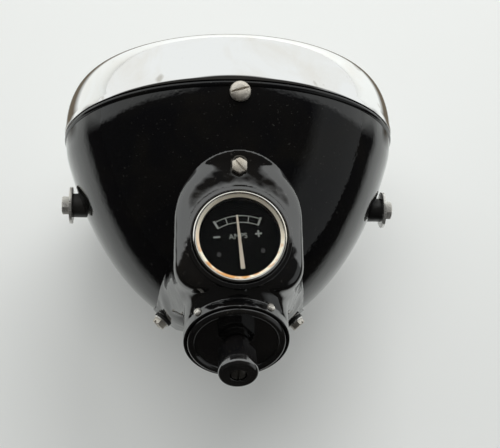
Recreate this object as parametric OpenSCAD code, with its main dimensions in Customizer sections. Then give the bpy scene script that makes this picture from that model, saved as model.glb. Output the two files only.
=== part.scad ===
// Round headlamp for a motorcycle, with an instrument panel on top of the
// bowl.  The lens faces -Y, the switch faces the rider at +Y, +Z is up.
// The origin lies midway between the two side pivot bolts, on their axis.

/* [Shell] */
// radius of the bowl at its mouth
mouth_r = 104.8; // [85:0.5:120]
// depth of the bowl behind the rim seat
shell_depth = 126; // [100:1:160]
// thickness of the pressed steel
sheet = 1.2; // [0.8:0.1:2]
// distance of the pivot axis behind the rim seat
pivot_back = 43; // [30:1:60]
// radius of the wiring hole in the underside
wiring_hole_r = 9; // [6:0.5:12]

/* [Rim and light unit] */
// depth of the rim in front of its seat
rim_depth = 34.5; // [25:0.5:45]
// radius of the opening in the rim
rim_opening_r = 90; // [70:0.5:92]
// sheet thickness of the rim
rim_sheet = 0.9; // [0.6:0.1:1.5]
// bulge of the glass in front of its edge
lens_bulge = 7; // [3:0.5:12]
// thickness of the glass
lens_t = 3; // [2:0.25:4]
// depth of the mirror bowl
mirror_depth = 60; // [45:1:66]

/* [Panel] */
// half width of the panel
panel_half = 36.4; // [33:0.2:42]
// height of the panel top above the lamp axis
panel_top = 94.5; // [92:0.5:98]
// radius of the rounded upper edge
panel_edge_r = 8; // [3:0.5:10]
// distance of the front lobe centre behind the rim seat
lobe_back = 75; // [70:1:80]
// distance of the rear wall behind the rim seat
panel_rear = 118; // [116:0.5:119]

/* [Ammeter] */
// radius of the plated bezel
bezel_r = 25.85; // [22:0.1:27]
// distance of the ammeter axis behind the rim seat
ammeter_back = 89; // [86:1:90]
// angle at which the ammeter is clamped in the panel
ammeter_turn = 6; // [-10:1:10]
// half angle of the scale
scale_half_angle = 26; // [20:1:32]

/* [Switch] */
// distance of the switch face behind the rim seat
switch_back = 142.5; // [141:0.5:146]
// height of the switch face above the lamp axis
switch_high = 66; // [64:0.5:68]
// upward slope of the switch axis
switch_slope = 31; // [26:1:34]
// radius of the round switch cover
cover_r = 27.4; // [25:0.1:28]
// radius of the knob at its outer end
knob_r = 11.2; // [9:0.1:12.5]
// length of the knob
knob_length = 23.5; // [18:0.5:28]
// angle of the knob grip seen from the rider
knob_turn = -20; // [-45:1:45]

/* [Side bolts] */
// size of the hexagon across its flats
bolt_flats = 10.6; // [9:0.1:13]
// radius of the large plain washer
big_washer_r = 11.7; // [9:0.1:12]
// radius of the round spacer
spacer_r = 7.6; // [6:0.1:9]

/* [Hidden] */
$fn = 64;

shell_power = 1.5;
curve_steps = 26;
bead_r = 1.8;
bead_mid_r = mouth_r - 0.6;
rim_out_r = mouth_r + 1.8;
rim_flange = 1.0;
rim_flange_in = mouth_r - 6.8;
rim_power = 2.4;

lens_r = rim_opening_r + 2.4;
lens_edge_front = rim_depth - rim_sheet - 0.6;
lens_edge_back = lens_edge_front - lens_t;
lens_ball_r = (lens_r * lens_r + lens_bulge * lens_bulge) / (2 * lens_bulge);
seal_t = 2;
mirror_front = lens_edge_back - seal_t;
mirror_sheet = 0.8;
mirror_r = lens_r - 7.8;
mirror_focus = mirror_r * mirror_r / (4 * mirror_depth);
mirror_hole_r = 17.5;
mirror_hole_back = mirror_back(mirror_hole_r);
side_light_low = 32;

lip_t = 2.4;
hood_in = sheet + 0.1;
corner_r = 14;
panel_foot = -4;
skirt_t = 7;
skirt_top = 62;
skirt_r = corner_r + 7.3;
skirt_sweep_r = 73;
skirt_sweep = acos(1 - (skirt_r - corner_r) / skirt_sweep_r);
collar_r = bezel_r + 3.05;
collar_gap_r = bezel_r + 0.85;
collar_h = 2;
case_r = bezel_r - 1.85;
bezel_h = 3.5;
dial_drop = 6;
case_depth = 22;
case_floor = 2 - case_depth;
pivot_drop = 16;
top_screw_back = lobe_back - 27;

tube_r = cover_r + 2.5;
tube_in_r = tube_r - sheet - 0.1;
tube_mouth_r = tube_in_r;
tube_lip = -0.5;
seat_drop = 3;
shoulder_end = -6.8;
collar_screw_turns = [-36, 48];

ear_back = 114;
ear_tilt = 50;
ear_pad_h = 4.2;
small_flats = 8.2;
small_head_h = 3.2;
small_shank_r = 2.4;
packing_t = 1.6;
small_washer_t = 0.9;

spacer_face = 99.5;
washer_t = 1.8;
bolt_head_h = 5;
bolt_shank_r = 3.1;
bolt_hole_r = 3.3;
pivot_block_r = 9;
pivot_block_in = 86;

function arc(cx, cy, r, from, to, n) =
  [for (i = [0 : n]) [cx + r * cos(from + (to - from) * i / n), cy + r * sin(from + (to - from) * i / n)]];
function reversed(list) = [for (i = [len(list) - 1 : -1 : 0]) list[i]];

// radius of the bowl at a distance behind the rim seat
function shell_r(y, grow = 0) =
  (mouth_r + grow) * sqrt(max(0, 1 - pow(max(0, y) / (shell_depth + grow), shell_power)));
function shell_curve(grow, start) =
  [for (i = [0 : curve_steps])
    let (y = (shell_depth + grow) - (shell_depth + grow - start) * pow(1 - i / curve_steps, 2))
    [shell_r(y, grow), y]];

function curve_start(grow) = grow < 0 ? 3 : 2 * bead_r + 0.4;

// radius of the rim at a distance in front of its seat
function rim_curve(grow, n) =
  [for (i = [0 : n])
    let (a = 90 * i / n, d = (rim_depth + grow) * pow(sin(a), 0.9))
    [rim_opening_r + 1.2 + (rim_out_r + grow - rim_opening_r - 1.2) * sqrt(max(0, 1 - pow(d / (rim_depth + grow), rim_power))), -d]];

function mirror_back(r) = -mirror_front + mirror_depth - r * r / (4 * mirror_focus);

module lamp() translate([0, -pivot_back, 0]) children();
module around_axis() rotate([-90, 0, 0]) rotate_extrude($fn = 240) children();
module ammeter_frame() translate([0, ammeter_back, panel_top]) rotate([0, 0, ammeter_turn]) children();
module switch_frame() translate([0, switch_back, switch_high]) rotate([switch_slope - 90, 0, 0]) children();
module both_sides() {
  children();
  mirror([1, 0, 0]) children();
}
// local +Z points out of the panel ear
module ear_frame() {
  translate([shell_r(ear_back), ear_back, 0]) rotate([0, 90, 90 - (90 - ear_tilt)]) children();
}
// local +Z points away from the lamp along the pivot axis
module pivot_frame() translate([0, pivot_back, 0]) rotate([0, 90, 0]) children();

module hexagon(flats, h) cylinder(r = flats / sqrt(3), h = h, $fn = 6);

// bowl
module shell_volume(grow) around_axis() polygon(concat([[0, 0], [mouth_r + grow, 0]], shell_curve(grow, curve_start(grow))));

module shell() {
  lamp() difference() {
    union() {
      around_axis() polygon(concat(
        [[mouth_r - sheet, 0]],
        arc(bead_mid_r, bead_r, bead_r, -90, 80, 8),
        shell_curve(0, curve_start(0)),
        reversed(shell_curve(-sheet, curve_start(-sheet)))
      ));
      intersection() {
        translate([0, 7.2, mouth_r - 4]) cylinder(r = 6.6, h = 4.2);
        around_axis() translate([mouth_r - sheet - 0.2, 0]) square([3, 15]);
      }
    }
    // opening under the panel
    translate([0, lobe_back, 20]) cylinder(r = panel_half - 8, h = 90);
    translate([-27, lobe_back, 18]) cube([54, 121 - lobe_back, 92]);
    // screw holes, with a flat seat for the head of the rim screw
    translate([0, 7.2, mouth_r + 0.2]) cylinder(r = 6.3, h = 10);
    translate([0, 7.2, 90]) cylinder(r = 2.8, h = 30);
    translate([0, top_screw_back, 80]) cylinder(r = small_shank_r + 0.2, h = 30);
    both_sides() ear_frame() translate([0, 0, -20]) cylinder(r = small_shank_r + 0.2, h = 30);
    both_sides() pivot_frame() translate([0, 0, 80]) cylinder(r = bolt_hole_r, h = 30);
    // wiring hole
    wiring_frame() translate([0, 0, -10]) cylinder(r = wiring_hole_r, h = 20);
  }
}

wiring_back = 84;
// the hole is square to the curve of the bowl
wiring_lean = atan((shell_r(wiring_back - 1) - shell_r(wiring_back + 1)) / 2);
module wiring_frame() {
  translate([0, wiring_back, -shell_r(wiring_back) + 0.5]) rotate([-180 + wiring_lean, 0, 0]) children();
}

module wiring_grommet() {
  lamp() wiring_frame() rotate_extrude() polygon([
    [5.5, -3.4], [10.8, -3.4], [11.2, -3], [11.2, -2.1], [wiring_hole_r - 0.05, -2.1], [wiring_hole_r - 0.05, 1.2],
    [11.2, 1.2], [11.2, 2.2], [10.8, 2.8], [5.5, 2.8]
  ]);
}

// rim and light unit
module rim() {
  lamp() around_axis() polygon(concat(
    [[rim_flange_in, 0], [rim_out_r, 0]],
    rim_curve(0, 18),
    [[rim_opening_r + 0.4, -rim_depth + 0.1], [rim_opening_r, -rim_depth + rim_sheet + 0.4]],
    [[rim_opening_r + 2.4, -rim_depth + rim_sheet + 0.6]],
    reversed(rim_curve(-rim_sheet, 18)),
    [[rim_out_r - rim_sheet, -rim_flange], [rim_flange_in, -rim_flange]]
  ));
}

module rim_tab() {
  lamp() difference() {
    union() {
      translate([-7, 0, rim_flange_in - 0.5]) cube([14, 1.5, 5]);
      translate([-7, 0, rim_flange_in - 0.5]) cube([14, 14, 2]);
    }
    translate([0, 7.2, 80]) cylinder(r = 2.55, h = 30);
  }
}

module rim_hook() {
  lamp() translate([0, 0, -rim_flange_in - 4.5]) {
    translate([-8, 0, 0]) cube([16, 1.5, 5]);
    translate([-8, 0, 3.2]) cube([16, 10, 1.8]);
  }
}

module rim_screw() {
  lamp() translate([0, 7.2, mouth_r + 0.2]) difference() {
    union() {
      rotate_extrude() polygon(concat([[0, 0]], [[6, 0], [6, 1]], arc(2.8, 1, 3.2, 0, 90, 6), [[0, 4.2]]));
      translate([0, 0, -11]) cylinder(r = 2.5, h = 11);
    }
    rotate([0, 0, 17]) translate([-8, -0.7, 2.6]) cube([16, 1.4, 4]);
  }
}

module lens_glass() {
  top = -lens_edge_front;
  lamp() around_axis() polygon(concat(
    [[0, -lens_edge_back - lens_bulge + 0.4]],
    [for (i = [1 : 8]) let (r = (lens_r - 3) * i / 8)
      [r, -lens_edge_back - lens_bulge + 0.4 + lens_ball_r - sqrt(lens_ball_r * lens_ball_r - r * r)]],
    [[lens_r - 2.6, -lens_edge_back], [lens_r, -lens_edge_back], [lens_r, top], [lens_r - 2.6, top]],
    [for (i = [8 : -1 : 0]) let (r = (lens_r - 3) * i / 8)
      [r, top - lens_bulge + lens_ball_r - sqrt(lens_ball_r * lens_ball_r - r * r)]]
  ));
}

module lens_seal() {
  lamp() around_axis() translate([mirror_r - 0.4, -lens_edge_back]) square([lens_r - mirror_r + 0.4, seal_t]);
}

module mirror_bowl() {
  lamp() difference() {
    around_axis() polygon(concat(
      [[lens_r, -mirror_front], [lens_r, -mirror_front + mirror_sheet]],
      [for (i = [0 : 14]) let (r = mirror_r + 0.4 - (mirror_r + 0.4 - mirror_hole_r) * i / 14)
        [r, mirror_back(r) + mirror_sheet + (i == 0 ? 0.4 : 0.5)]],
      [for (i = [14 : -1 : 0]) let (r = mirror_r - 0.4 - (mirror_r - 0.4 - mirror_hole_r) * i / 14)
        [r, mirror_back(r)]],
      [[mirror_r, -mirror_front]]
    ));
    translate([0, 0, -side_light_low]) rotate([-90, 0, 0]) translate([0, 0, -20]) cylinder(r = 6, h = 90);
  }
}

module mirror_clip() {
  back = -mirror_front + mirror_sheet;
  translate([-3, back, lens_r - 5]) cube([6, 0.8, 11.8]);
  translate([-3, back, lens_r + 6]) cube([6, mirror_front - mirror_sheet - rim_flange - 0.8, 0.8]);
  translate([-3, -rim_flange - 0.8, lens_r + 6]) cube([6, 0.8, 5]);
}

module mirror_clips() {
  lamp() for (a = [36 : 72 : 324]) rotate([0, a, 0]) mirror_clip();
}

module bulb_holder() {
  seat = mirror_hole_back + mirror_sheet + 0.5;
  lamp() around_axis() polygon([
    [13, seat], [25, seat], [25, seat + 1.2], [18.6, seat + 1.2], [18.6, seat + 24], [6, seat + 24],
    [6, seat + 22.5], [17, seat + 22.5], [17, seat + 1.2], [13, seat + 1.2]
  ]);
}

module main_bulb() {
  seat = mirror_hole_back + mirror_sheet + 0.5;
  lamp() around_axis() polygon(concat(
    [[0, seat - 1]],
    [[7.5, seat - 1], [8, seat - 8], [9.6, seat - 14]],
    arc(0, seat - 26, 13, 60, -90, 14)
  ));
}

module main_bulb_cap() {
  seat = mirror_hole_back + mirror_sheet + 0.5;
  lamp() around_axis() polygon([
    [0, seat - 1], [9.5, seat - 1], [9.5, seat], [12.9, seat], [12.9, seat + 1.2], [16.2, seat + 1.2],
    [16.2, seat + 2.4], [8.5, seat + 2.4], [8.5, seat + 18], [5.5, seat + 20], [5.5, seat + 26], [0, seat + 26]
  ]);
}

module side_light_holder() {
  lamp() translate([0, mirror_back(side_light_low), -side_light_low]) rotate([-90, 0, 0]) rotate_extrude() polygon([
    [4.6, -4], [5.9, -4], [5.9, 22], [0, 22], [0, 20.5], [4.6, 20.5]
  ]);
}

module side_light_bulb() {
  lamp() translate([0, mirror_back(side_light_low), -side_light_low]) rotate([-90, 0, 0]) rotate_extrude()
    polygon(concat([[0, 20.5], [4.5, 20.5], [4.5, -4.6]], arc(0, -8.2, 5.1, 45, -90, 10)));
}

// instrument panel
module top_profile(r, drop) {
  e = panel_edge_r - drop;
  polygon(concat([[0, panel_foot], [r, panel_foot]], arc(r - e, panel_top - drop - e, e, 0, 90, 6), [[0, panel_top - drop]]));
}

module hood(drop) {
  half = panel_half - drop;
  corner_y = panel_rear - corner_r;
  e = panel_edge_r - drop;
  rise = panel_top - drop - e;
  translate([0, lobe_back, 0]) rotate_extrude() top_profile(half, drop);
  for (s = [-1, 1]) translate([s * (panel_half - corner_r), corner_y, 0]) rotate_extrude() top_profile(corner_r - drop, drop);
  translate([0, corner_y, 0]) rotate([90, 0, 0]) linear_extrude(height = corner_y - lobe_back) polygon(concat(
    [[-half, panel_foot], [half, panel_foot]],
    arc(half - e, rise, e, 0, 90, 6),
    arc(-half + e, rise, e, 90, 180, 6)
  ));
  translate([-(panel_half - corner_r), 0, 0]) rotate([90, 0, 90]) linear_extrude(height = 2 * (panel_half - corner_r))
    polygon(concat(
      [[lobe_back, panel_foot], [panel_rear - drop, panel_foot]],
      arc(panel_rear - drop - e, rise, e, 0, 90, 6),
      [[lobe_back, panel_top - drop]]
    ));
}

// swept foot where the side walls run out over the bowl
module skirts() {
  intersection() {
    shell_volume(skirt_t);
    for (s = [-1, 1]) translate([s * (panel_half - corner_r), panel_rear - corner_r, 0]) rotate_extrude() polygon(concat(
      [[0, skirt_top], [corner_r, skirt_top]],
      arc(corner_r + skirt_sweep_r, skirt_top, skirt_sweep_r, 180, 180 + skirt_sweep, 7),
      [[skirt_r, panel_foot], [0, panel_foot]]
    ));
  }
}

// round shoulder between the panel top and the switch tube
module shoulder() {
  crest = switch_high + tube_r * cos(switch_slope) - 0.1;
  difference() {
    intersection() {
      translate([0, 100, crest - tube_r]) rotate([-90, 0, 0]) cylinder(r = tube_r, h = 60);
      translate([-tube_r, 100, switch_high]) cube([2 * tube_r, 60, tube_r]);
    }
    switch_frame() translate([-60, -60, shoulder_end]) cube([120, 120, 60]);
  }
}

module ears() {
  intersection() {
    shell_volume(1.8);
    union() {
      both_sides() ear_frame() translate([0, 0, -12]) cylinder(r = 9, h = 24);
      linear_extrude(height = 70) polygon([
        [-37, 92], [-40.5, 98], [-43.5, 104], [-46, 112], [-46, 122], [46, 122], [46, 112], [43.5, 104], [40.5, 98], [37, 92]
      ]);
    }
  }
  both_sides() ear_frame() translate([0, 0, -6]) cylinder(r = 6.6, h = 6 + ear_pad_h - packing_t);
}

module panel() {
  lamp() difference() {
    union() {
      hood(0);
      intersection() {
        shell_volume(lip_t);
        translate([0, lobe_back, 60]) cylinder(r = panel_half, h = 60);
      }
      switch_frame() translate([0, 0, -62]) cylinder(r = tube_r, h = 62 + tube_lip);
      skirts();
      shoulder();
      ears();
      translate([0, ammeter_back, panel_top - 2]) cylinder(r = collar_r, h = 2 + collar_h);
      // index pip above the switch
      switch_frame() translate([0, -(tube_r + tube_mouth_r) / 2, tube_lip]) sphere(r = 0.9);
    }
    difference() {
      union() {
        hood(hood_in);
        switch_frame() translate([0, 0, -63]) cylinder(r = tube_in_r, h = 57);
      }
      switch_frame() translate([0, 0, tube_lip - 5.5]) cylinder(r = tube_r, h = 10);
    }
    switch_frame() translate([0, 0, -seat_drop]) cylinder(r = tube_mouth_r, h = 10);
    switch_frame() translate([0, 0, -20]) cylinder(r = 23, h = 30);
    shell_volume(0);
    translate([0, ammeter_back, panel_top - 10]) cylinder(r = case_r + 0.2, h = 20);
    translate([0, ammeter_back, panel_top]) cylinder(r = collar_gap_r, h = 20);
    translate([0, top_screw_back, 60]) cylinder(r = small_shank_r + 0.1, h = 60);
    translate([0, top_screw_back, panel_top]) cylinder(r = 5.6, h = 10);
    both_sides() ear_frame() translate([0, 0, -12]) cylinder(r = small_shank_r + 0.1, h = 30);
    both_sides() ear_frame() translate([0, 0, ear_pad_h - packing_t]) cylinder(r = 6.4, h = 12);
    for (a = collar_screw_turns) switch_frame() rotate([0, 0, a]) translate([0, 0, -4.5]) rotate([90, 0, 0]) cylinder(r = 1.3, h = 60);
  }
}

module small_screw(shank, turn) {
  difference() {
    union() {
      intersection() {
        hexagon(small_flats, small_head_h);
        rotate_extrude() polygon([[0, 0], [4.8, 0], [4.8, small_head_h - 0.6], [3.9, small_head_h], [0, small_head_h]]);
      }
      translate([0, 0, -shank]) cylinder(r = small_shank_r, h = shank);
    }
    rotate([0, 0, turn]) translate([-6, -0.6, small_head_h - 1.2]) cube([12, 1.2, 3]);
  }
}

module small_nut() {
  difference() {
    hexagon(small_flats, 3);
    translate([0, 0, -1]) cylinder(r = small_shank_r + 0.03, h = 5);
  }
}

module panel_top_screw() {
  lamp() translate([0, top_screw_back, panel_top]) rotate([0, 0, 30]) small_screw(13, 100);
}

module panel_top_nut() {
  lamp() translate([0, top_screw_back, panel_top - 10.5]) small_nut();
}

module panel_side_packings() {
  lamp() both_sides() ear_frame() translate([0, 0, ear_pad_h - packing_t]) difference() {
    cylinder(r = 5.6, h = packing_t);
    translate([0, 0, -1]) cylinder(r = small_shank_r + 0.05, h = 5);
  }
}

module panel_side_washers() {
  lamp() both_sides() ear_frame() translate([0, 0, ear_pad_h]) difference() {
    cylinder(r = 5.3, h = small_washer_t);
    translate([0, 0, -1]) cylinder(r = small_shank_r + 0.05, h = 5);
  }
}

module panel_side_screws() {
  lamp() both_sides() ear_frame() translate([0, 0, ear_pad_h + small_washer_t]) small_screw(16, 35);
}

module panel_side_nuts() {
  lamp() both_sides() ear_frame() translate([0, 0, -9.5]) small_nut();
}

// ammeter
module ammeter_case() {
  lamp() ammeter_frame() rotate_extrude() polygon([
    [0, -case_depth], [case_r, -case_depth], [case_r, 0], [case_r - 1.5, 0], [case_r - 1.5, bezel_h - dial_drop - 0.7],
    [case_r - 3.5, bezel_h - dial_drop - 0.7], [case_r - 3.5, case_floor], [0, case_floor]
  ]);
}

scale_in = 25.2;
scale_out = 29.6;

module ammeter_movement() {
  lamp() ammeter_frame() difference() {
    union() {
      translate([-8, -8, case_floor]) cube([16, 26.5, 3]);
      translate([-4, pivot_drop - 4, case_floor]) cube([8, 6.5, 14]);
    }
    translate([0, pivot_drop, case_floor + 3]) cylinder(r = 0.86, h = 30);
  }
}

module ammeter_dial() {
  lamp() ammeter_frame() translate([0, 0, bezel_h - dial_drop - 0.7]) difference() {
    cylinder(r = case_r - 1.55, h = 0.7);
    translate([0, pivot_drop, -1]) cylinder(r = 1.2, h = 3);
  }
}

module scale_mark(angle, wide) {
  rotate([0, 0, angle]) translate([-wide / 2, -scale_out - 0.8, 0]) cube([wide, scale_out - scale_in + 1.4, 0.15]);
}

module scale_line(r) {
  difference() {
    cylinder(r = r + 0.25, h = 0.15);
    translate([0, 0, -1]) cylinder(r = r - 0.25, h = 3);
    for (s = [-1, 1]) rotate([0, 0, s * scale_half_angle]) translate([s > 0 ? 0 : -60, -60, -1]) cube([60, 120, 3]);
    translate([-60, 0, -1]) cube([120, 60, 3]);
  }
}

module ammeter_scale() {
  lamp() ammeter_frame() translate([0, 0, bezel_h - dial_drop]) {
    translate([0, pivot_drop, 0]) {
      union() {
        scale_line(scale_in);
        scale_line(scale_out - 0.6);
        for (k = [-2, 2]) scale_mark(k * scale_half_angle / 2, 1.1);
        for (k = [-1, 0, 1]) scale_mark(k * scale_half_angle / 2, 0.6);
      }
    }
    for (s = [-1, 1]) translate([s * 11.6 - 1.8, -0.4, 0]) cube([3.6, 0.75, 0.15]);
    translate([-11.6 - 0.375, -1.8, 0]) cube([0.75, 3.6, 0.15]);
  }
}

module ammeter_dial_rivets() {
  lamp() ammeter_frame() translate([0, 0, bezel_h - dial_drop]) for (s = [-1, 1])
    translate([s * 12.2, 8.2, 0]) cylinder(r = 1.3, h = 0.5);
}

module ammeter_glass() {
  lamp() ammeter_frame() cylinder(r = case_r - 0.35, h = 1.6);
}

module ammeter_bezel() {
  lamp() ammeter_frame() rotate_extrude() polygon(concat(
    [[case_r - 0.3, 0], [bezel_r, 0]],
    arc(bezel_r - 1.4, bezel_h - 1.4, 1.4, 0, 90, 6),
    [[bezel_r - 2.2, bezel_h - 0.1], [bezel_r - 3.1, bezel_h - 0.9], [bezel_r - 3.35, 1.6], [case_r - 0.3, 1.6]]
  ));
}

module ammeter_needle() {
  lamp() ammeter_frame() translate([0, pivot_drop, bezel_h - dial_drop + 0.5]) {
    difference() {
      union() {
        linear_extrude(height = 0.5) polygon([[-1.2, 1.4], [1.2, 1.4], [0.45, -scale_out + 0.2], [-0.45, -scale_out + 0.2]]);
        translate([0, 0, -12]) cylinder(r = 0.8, h = 12.2);
      }
    }
  }
}

module ammeter_bracket() {
  lamp() ammeter_frame() {
    difference() {
      translate([-28, -4, -case_depth - 1.5]) cube([56, 8, 1.5]);
      for (s = [-1, 1]) translate([s * 8, 0, -case_depth - 5]) cylinder(r = 2.2, h = 10);
    }
    for (s = [-1, 1]) translate([s * 27.25 - 0.75, -4, -case_depth - 1.5]) cube([1.5, 8, case_depth + 1.5 - hood_in]);
  }
}

module ammeter_studs() {
  lamp() ammeter_frame() for (s = [-1, 1]) translate([s * 8, 0, -case_depth - 12]) cylinder(r = 2, h = 12);
}

module ammeter_nuts() {
  lamp() ammeter_frame() for (s = [-1, 1]) translate([s * 8, 0, -case_depth - 4.7]) difference() {
    hexagon(7, 3.2);
    translate([0, 0, -1]) cylinder(r = 2.03, h = 6);
  }
}

// switch
module switch_cover() {
  lamp() switch_frame() difference() {
    rotate_extrude() polygon(concat(
      [[0, -seat_drop], [cover_r, -seat_drop]],
      arc(cover_r - 1.6, 0, 1.6, 0, 180, 10),
      [[cover_r - 3.3, -0.4], [0, -0.1]]
    ));
    translate([0, 0, -5]) cylinder(r = 3.1, h = 10);
  }
}

module switch_body() {
  lamp() switch_frame() difference() {
    union() {
      translate([0, 0, -12]) cylinder(r = 22.4, h = 12 - seat_drop);
      translate([0, 0, -26]) cylinder(r = 19.5, h = 15);
      translate([0, 0, -30]) cylinder(r = 17, h = 5);
    }
    translate([0, 0, -20]) cylinder(r = 3.06, h = 40);
    for (a = collar_screw_turns) rotate([0, 0, a]) translate([0, 0, -4.5]) rotate([90, 0, 0]) cylinder(r = 1.22, h = 60);
  }
}

module switch_terminals() {
  lamp() switch_frame() for (a = [0 : 60 : 300]) rotate([0, 0, a]) translate([12, 0, -36]) difference() {
    cylinder(r = 2.4, h = 6);
    translate([0, 0, -1]) cylinder(r = 1.3, h = 5);
  }
}

module switch_collar_screws() {
  lamp() for (a = collar_screw_turns) switch_frame() rotate([0, 0, a]) translate([0, 0, -4.5]) rotate([90, 0, 0])
    translate([0, 0, tube_r]) difference() {
      union() {
        rotate_extrude() polygon(concat([[0, 0], [2.3, 0], [2.3, 0.6]], arc(1.1, 0.6, 1.2, 0, 90, 4), [[0, 1.8]]));
        translate([0, 0, -12]) cylinder(r = 1.2, h = 12.1);
      }
      rotate([0, 0, 40]) translate([-3, -0.35, 1.1]) cube([6, 0.7, 2]);
    }
}

module switch_spindle() {
  lamp() switch_frame() translate([0, 0, -19]) cylinder(r = 3, h = 19 + knob_length - 6.5);
}

module switch_knob() {
  foot = 0.6;
  hip = knob_length - 6;
  waist = 6;
  lamp() switch_frame() rotate([0, 0, -knob_turn]) difference() {
    union() {
      intersection() {
        translate([0, 0, foot]) cylinder(r1 = knob_r - 1.2, r2 = knob_r, h = hip - foot);
        rotate([90, 0, 0]) translate([0, 0, -20]) linear_extrude(height = 40) polygon(concat(
          arc(-waist - 48, foot - 3, 48, 3.7, 24.7, 9),
          arc(waist + 48, foot - 3, 48, 155.3, 176.3, 9)
        ));
      }
      translate([0, 0, hip]) rotate_extrude() polygon(concat(
        [[0, -0.5]],
        [[knob_r - 0.04, -0.5]],
        arc(knob_r - 4.5, 0.3, 4.5, 0, 55, 6),
        [[knob_r - 5, 5.1], [knob_r - 8, 6], [0, 6]]
      ));
    }
    translate([0, 0, -1]) cylinder(r = 3, h = knob_length - 5.5);
    translate([0, 0, -1]) cylinder(r = 2.1, h = knob_length + 2);
    translate([0, 0, knob_length - 2.4]) cylinder(r = 4.6, h = 5);
  }
}

module knob_screw() {
  lamp() switch_frame() translate([0, 0, knob_length - 2.4]) difference() {
    union() {
      rotate_extrude() polygon([[0, 0], [4.2, 0], [4.2, 1.6], [3.4, 2.2], [0, 2.5]]);
      translate([0, 0, -4.1]) cylinder(r = 2, h = 4.2);
    }
    rotate([0, 0, 90]) translate([-6, -0.5, 1]) cube([12, 1, 3]);
  }
}

// side pivot bolts
module pivot_spacers() {
  lamp() both_sides() difference() {
    pivot_frame() translate([0, 0, 84]) cylinder(r = spacer_r, h = spacer_face - 84);
    shell_volume(0);
    pivot_frame() translate([0, 0, 80]) cylinder(r = bolt_hole_r, h = 30);
  }
}

module pivot_washers() {
  lamp() both_sides() pivot_frame() translate([0, 0, spacer_face]) difference() {
    cylinder(r = big_washer_r, h = washer_t);
    translate([0, 0, -1]) cylinder(r = bolt_hole_r, h = 5);
  }
}

module pivot_bolts() {
  lamp() both_sides() pivot_frame() translate([0, 0, spacer_face + washer_t]) {
    intersection() {
      rotate([0, 0, 30]) hexagon(bolt_flats, bolt_head_h);
      rotate_extrude() polygon([
        [0, 0], [bolt_flats * 0.6, 0], [bolt_flats * 0.6, bolt_head_h - 0.7], [bolt_flats * 0.47, bolt_head_h], [0, bolt_head_h]
      ]);
    }
    translate([0, 0, -26]) cylinder(r = bolt_shank_r, h = 26);
  }
}

module pivot_blocks() {
  lamp() both_sides() difference() {
    intersection() {
      pivot_frame() translate([0, 0, pivot_block_in]) cylinder(r = pivot_block_r, h = 20);
      shell_volume(-sheet);
    }
    pivot_frame() translate([0, 0, 80]) cylinder(r = bolt_hole_r, h = 30);
  }
}

module pivot_nuts() {
  lamp() both_sides() pivot_frame() translate([0, 0, pivot_block_in - 5]) difference() {
    hexagon(bolt_flats, 5);
    translate([0, 0, -1]) cylinder(r = bolt_shank_r + 0.03, h = 8);
  }
}

color([0.02, 0.02, 0.022]) shell();
color([0.05, 0.05, 0.05]) wiring_grommet();
color([0.85, 0.86, 0.87]) rim();
color([0.6, 0.6, 0.58]) rim_tab();
color([0.6, 0.6, 0.58]) rim_hook();
color([0.8, 0.8, 0.8]) rim_screw();
color([0.85, 0.9, 0.9, 0.4]) lens_glass();
color([0.06, 0.06, 0.06]) lens_seal();
color([0.9, 0.9, 0.92]) mirror_bowl();
color([0.6, 0.6, 0.62]) mirror_clips();
color([0.7, 0.6, 0.35]) bulb_holder();
color([0.9, 0.92, 0.95, 0.4]) main_bulb();
color([0.72, 0.62, 0.35]) main_bulb_cap();
color([0.72, 0.62, 0.35]) side_light_holder();
color([0.9, 0.92, 0.95, 0.4]) side_light_bulb();
color([0.02, 0.02, 0.022]) panel();
color([0.75, 0.73, 0.68]) panel_top_screw();
color([0.6, 0.6, 0.58]) panel_top_nut();
color([0.04, 0.04, 0.04]) panel_side_packings();
color([0.75, 0.75, 0.75]) panel_side_washers();
color([0.7, 0.68, 0.6]) panel_side_screws();
color([0.6, 0.6, 0.58]) panel_side_nuts();
color([0.5, 0.5, 0.5]) ammeter_case();
color([0.72, 0.6, 0.3]) ammeter_movement();
color([0.015, 0.015, 0.017]) ammeter_dial();
color([0.75, 0.74, 0.7]) ammeter_scale();
color([0.03, 0.03, 0.03]) ammeter_dial_rivets();
color([0.85, 0.9, 0.9, 0.3]) ammeter_glass();
color([0.85, 0.82, 0.75]) ammeter_bezel();
color([0.75, 0.7, 0.6]) ammeter_needle();
color([0.65, 0.65, 0.62]) ammeter_bracket();
color([0.72, 0.6, 0.3]) ammeter_studs();
color([0.72, 0.6, 0.3]) ammeter_nuts();
color([0.02, 0.02, 0.02]) switch_cover();
color([0.05, 0.035, 0.03]) switch_body();
color([0.72, 0.6, 0.3]) switch_terminals();
color([0.7, 0.65, 0.6]) switch_collar_screws();
color([0.6, 0.6, 0.6]) switch_spindle();
color([0.03, 0.03, 0.03]) switch_knob();
color([0.5, 0.48, 0.42]) knob_screw();
color([0.03, 0.03, 0.03]) pivot_spacers();
color([0.75, 0.75, 0.74]) pivot_washers();
color([0.78, 0.78, 0.76]) pivot_bolts();
color([0.5, 0.5, 0.5]) pivot_blocks();
color([0.7, 0.7, 0.68]) pivot_nuts();
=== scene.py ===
import bpy
import math
from mathutils import Matrix, Vector, noise


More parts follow.
